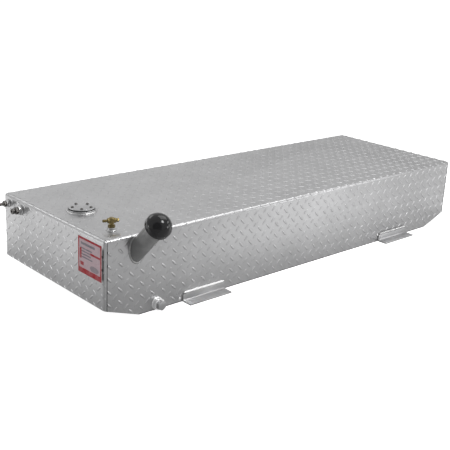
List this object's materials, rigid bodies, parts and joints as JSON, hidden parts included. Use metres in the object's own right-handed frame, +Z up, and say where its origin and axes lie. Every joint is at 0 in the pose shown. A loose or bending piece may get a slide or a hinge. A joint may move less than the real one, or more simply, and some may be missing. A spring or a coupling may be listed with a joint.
{
  "type": "auxiliary fuel tank",
  "caption": "Flat rectangular auxiliary fuel tank of tread plate with cut lower corners, slanted filler neck with screw cap, round gauge port, vent, drain, hose fittings and angle feet.",
  "frame": {"origin": "on the underside of the floor, at the middle of the tank's length and width", "axes": "+X along the tank away from the end with the hose fittings, -Y out of the front with the filler, +Z up"},
  "size_m": [1.5636, 0.6719, 0.3118],
  "materials": {
    "tread_plate": "bright mill finish with raised lugs in two crossed directions",
    "bare_aluminium": "plain mill finish",
    "weld_bead": "bright rippled weld metal",
    "filler_tube": "plain dull grey tube",
    "black_cap": "glossy black",
    "brass": "machined brass",
    "dark_steel": "dark oxide steel",
    "rubber_seal": "matt black rubber"
  },
  "bodies": {
    "tank": {"wrap_sheet": "tread_plate", "left_end_cap": "tread_plate", "right_end_cap": "tread_plate", "bottom_sheet": "bare_aluminium", "baffle_left": "bare_aluminium", "baffle_right": "bare_aluminium", "filler_neck": "filler_tube", "neck_weld": "weld_bead", "port_ring": "bare_aluminium", "port_weld": "weld_bead", "port_gasket": "rubber_seal", "port_cover": "bare_aluminium", "port_screw_1": "dark_steel", "port_screw_2": "dark_steel", "port_screw_3": "dark_steel", "port_screw_4": "dark_steel", "port_screw_5": "dark_steel", "vent_bung": "weld_bead", "vent_nipple": "brass", "vent_tee": "brass", "vent_barb": "brass", "vent_plug": "brass", "drain_bung": "weld_bead", "drain_plug": "bare_aluminium", "outlet_bung": "weld_bead", "outlet_adapter": "dark_steel", "return_bung": "weld_bead", "return_barb": "dark_steel", "draw_tube": "bare_aluminium", "front_left_bracket": "bare_aluminium", "front_right_bracket": "bare_aluminium", "rear_left_bracket": "bare_aluminium", "rear_right_bracket": "bare_aluminium", "front_left_bracket_weld": "weld_bead", "front_right_bracket_weld": "weld_bead", "rear_left_bracket_weld": "weld_bead", "rear_right_bracket_weld": "weld_bead"},
    "seal": {"cap_gasket": "rubber_seal"},
    "cap": {"filler_cap": "black_cap"}
  },
  "joints": [
    {"name": "cap_lift", "type": "slide", "parent": "tank", "child": "seal", "axis": [0, -0.6947, 0.7193], "range_m": [0, 0.0121]},
    {"name": "cap_turn", "type": "hinge", "parent": "seal", "child": "cap", "pos_m": [-0.6564, -0.34358, 0.27862], "axis": [0, -0.6947, 0.7193], "range_deg": [0, 1080]}
  ],
  "couplings": [
    {"joint": "cap_lift", "follows": "cap_turn", "m_per_rad": 0.00063662}
  ]
}
